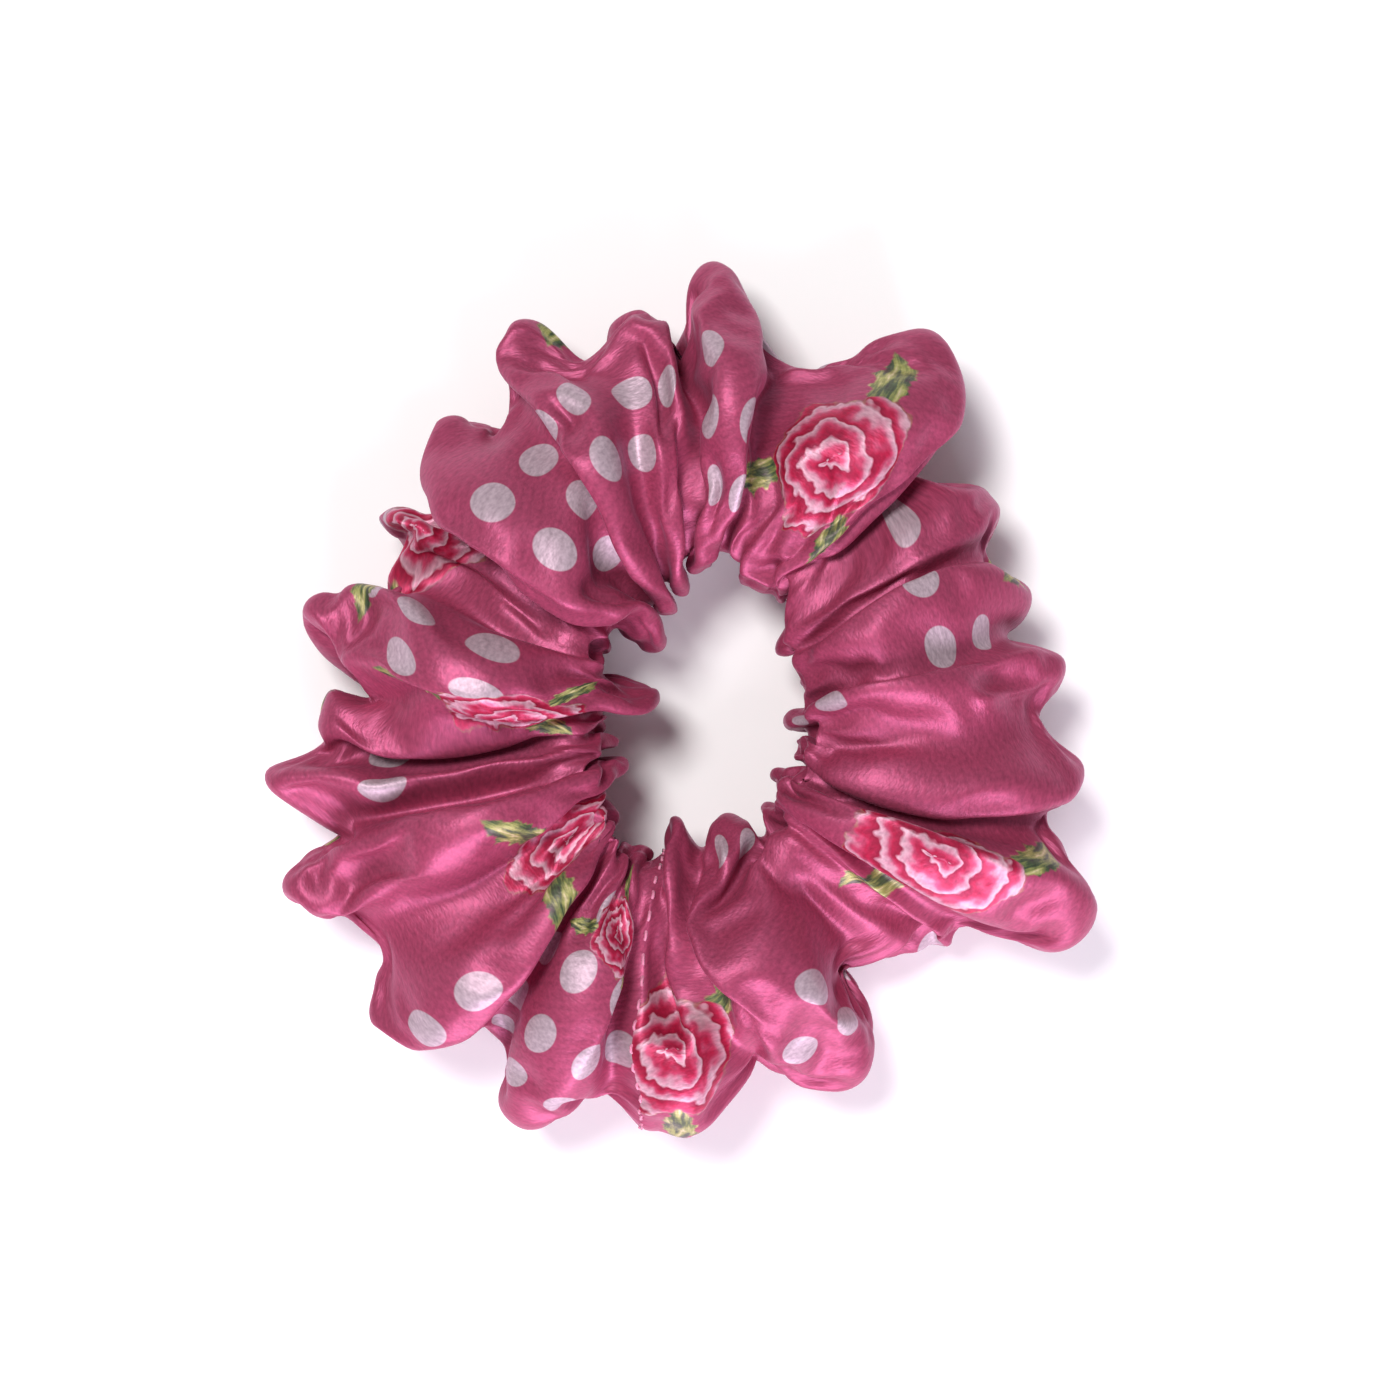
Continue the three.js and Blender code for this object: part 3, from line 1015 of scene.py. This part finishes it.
def band(angle, section):
    """Points of the elastic's skin. section scales it about its middle.

    Its outline is a box with round corners, the eighth root of a sum of eighth powers, and
    the ribs are a cosine across the width."""
    turn = np.linspace(0, 2 * math.pi, 96, endpoint=False)[None, :]
    corner = (np.cos(turn) ** 8 + np.sin(turn) ** 8) ** (-1 / 8)
    across, up = corner * np.cos(turn), -corner * np.sin(turn)
    groove = RIB_DEPTH * (1 - np.cos(math.pi * RIBS * up)) / 2
    angle = angle[:, None]
    offset = lap_offset(angle) + section * across * (ELASTIC_THICKNESS / 2 - groove)
    return loop_point(angle, offset, AXIS_HEIGHT + section * up * ELASTIC_WIDTH / 2)


def open_strip(columns, rows):
    """All cells but the last column's, which would close the strip on itself."""
    chosen = np.ones((columns, rows), bool)
    chosen[-1] = False
    return chosen


HEART = 0.1  # the inner layer of a solid strip or thread, as a share of its section
BAND_LENGTH = 150.0
band_angles = np.radians(np.linspace(FIRST_END, LAP_END, 260))
band_skin, band_heart = band(band_angles, 1.0), band(band_angles, HEART)
band_size = (BAND_LENGTH, 2 * (ELASTIC_WIDTH + ELASTIC_THICKNESS))
cut_into_zones(
    "elastic",
    band_skin,
    band_heart,
    grid_normals(band_skin),
    band_size,
    open_strip(*band_skin.shape[:2]),
    lambda zone_name: ["elastic_" + zone_name],
    knitted,
)
print("elastic loop:", band_skin.shape[:2], "points")

# %% [markdown]
# ## Threads
# Three lines of stitches hold it together. The long seam made the strip a tube, and lies
# inside it. The closing seam joins the tube's ends, and its stitches show as they dip in and
# out. The elastic's lap has a zigzag, so that it can still stretch.


# %% Thread sweeps
def swept(path, radius, sides):
    """A round tube along a path: circles across its direction, turned from the vertical."""
    direction = np.gradient(path, axis=0)
    direction /= np.linalg.norm(direction, axis=1, keepdims=True)
    side = np.cross(direction, (0.0, 0.0, 1.0))
    side /= np.linalg.norm(side, axis=1, keepdims=True) + 1e-9
    lift = np.cross(side, direction)
    turn = 2 * math.pi * np.arange(sides)[None, :, None] / sides
    ring = np.cos(turn) * side[:, None] - np.sin(turn) * lift[:, None]
    return path[:, None] + radius * ring, ring


THREAD_RADIUS, THREAD_SIDES, STITCH = 0.2, 8, 2.4
THREAD_PINK = (0.62, 0.20, 0.32)
thread = plain_cloth(
    "sewing thread", THREAD_PINK, thread=0.15, bump=0.02, Roughness=0.5, Sheen_Weight=0.3
)


def stitched(path, normals, length, proud, deep):
    """The path moved along the normals by a rounded square wave, one period per stitch.

    It rises proud of the path and sinks deep below it, by that many millimetres."""
    share = np.arange(len(path)) / len(path) * round(length / STITCH)
    wave = np.tanh(3 * np.sin(2 * math.pi * share))
    return path + normals * ((proud - deep) / 2 + (proud + deep) / 2 * wave)[:, None]


def thread_piece(name, path, body, stands_for):
    """An open thread that rides one body."""
    outer, ring = swept(path, THREAD_RADIUS, THREAD_SIDES)
    inner = path[:, None] + HEART * THREAD_RADIUS * ring
    chosen = open_strip(*outer.shape[:2])
    point_spacing = 0.5
    size = (len(path) * point_spacing, 1.0)
    made = skin_object(name, outer, inner, ring, chosen, size)
    made.data.materials.append(thread)
    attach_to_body(made, body)
    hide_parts(stands_for)


SEAM_DEPTH = 1.0  # of the long seam below the outer face of the satin
seam_line = satin_grid[:, seam_row] - satin_normals[:, seam_row] * SEAM_DEPTH
seam_path = stitched(seam_line, satin_normals[:, seam_row], STRIP_LENGTH, 0.15, 0.15)
seam_skin, seam_ring = swept(seam_path, THREAD_RADIUS, THREAD_SIDES)
cut_into_zones(
    "long_seam",
    seam_skin,
    seam_path[:, None] + HEART * THREAD_RADIUS * seam_ring,
    seam_ring,
    (STRIP_LENGTH, 1.0),
    np.ones(seam_skin.shape[:2], bool),
    lambda zone_name: ["long_seam_" + zone_name],
    thread,
)
closing_path = stitched(satin_grid[0], satin_normals[0], GIRTH, 0.15, 0.6)
thread_piece("closing_seam", closing_path, "bottom_right", "closing_seam_thread")


def zigzag():
    """Stitches on the outer face of the elastic's lap, from edge to edge and back."""
    share = np.linspace(0, 1, 240)
    teeth, half_height, start, sweep, clearance = 8, 2.3, 2, 16, 0.1
    slope = (2 / math.pi) * np.arcsin(np.sin(2 * math.pi * teeth * share))
    angle = np.radians(FIRST_END + start + sweep * share)
    offset = LAP_OFFSET + ELASTIC_THICKNESS / 2 + clearance
    return loop_point(angle, offset, AXIS_HEIGHT + half_height * slope)


thread_piece("elastic_zigzag", zigzag(), "bottom_right", "elastic_stitching")

# %% [markdown]
# ## Floor, light and camera
# The scrunchie lies on a white table under a soft sky. A lamp above, a little to the upper
# left, models the folds and keeps the table white. A low one at the bottom, like a window,
# gives the folds their long lilac highlights. The camera looks straight down through a long
# lens.


# %% Floor and light
def area_light(name, place, size, power, colour):
    lamp = bpy.data.lights.new(name, "AREA")
    lamp.size, lamp.energy, lamp.color = size, power, colour
    made = bpy.data.objects.new(name, lamp)
    bpy.context.scene.collection.objects.link(made)
    made.location = place
    toward = Vector((0, 0, 0.01)) - Vector(place)
    made.rotation_euler = toward.to_track_quat("-Z", "Y").to_euler()


def floor():
    made = flat_square("floor")
    material, tree, shader = new_material("floor", Roughness=0.9, Specular_IOR_Level=0.1)
    shader.inputs["Base Color"].default_value = (0.97, 0.97, 0.97, 1)
    made.data.materials.append(material)


floor()
scene = bpy.context.scene
scene.view_settings.view_transform = "Standard"
world = bpy.data.worlds.new("sky")
scene.world = world
world.use_nodes = True
sky = world.node_tree.nodes["Background"].inputs
sky["Color"].default_value, sky["Strength"].default_value = (0.95, 0.96, 1, 1), 0.25
area_light("key", (-0.3, 0.35, 1.0), 0.35, 10.5, (1.0, 0.98, 0.97))
area_light("window", (0.12, -0.8, 0.4), 0.6, 12.0, (0.95, 0.87, 1.0))

# %% Camera
FRAME_WIDTH = 182.0  # millimetres at the height of the tube's axis
FRAME_MIDDLE = (2.4, -0.3)
camera_data = bpy.data.cameras.new("camera")
camera_data.lens = 100
camera_data.sensor_width = 36
camera_data.clip_start = 0.01
camera = bpy.data.objects.new("camera", camera_data)
scene.collection.objects.link(camera)
distance = FRAME_WIDTH * camera_data.lens / camera_data.sensor_width + AXIS_HEIGHT
camera.location = Vector((*FRAME_MIDDLE, distance)) * MM
scene.camera = camera
print("camera at", round(distance), "mm")
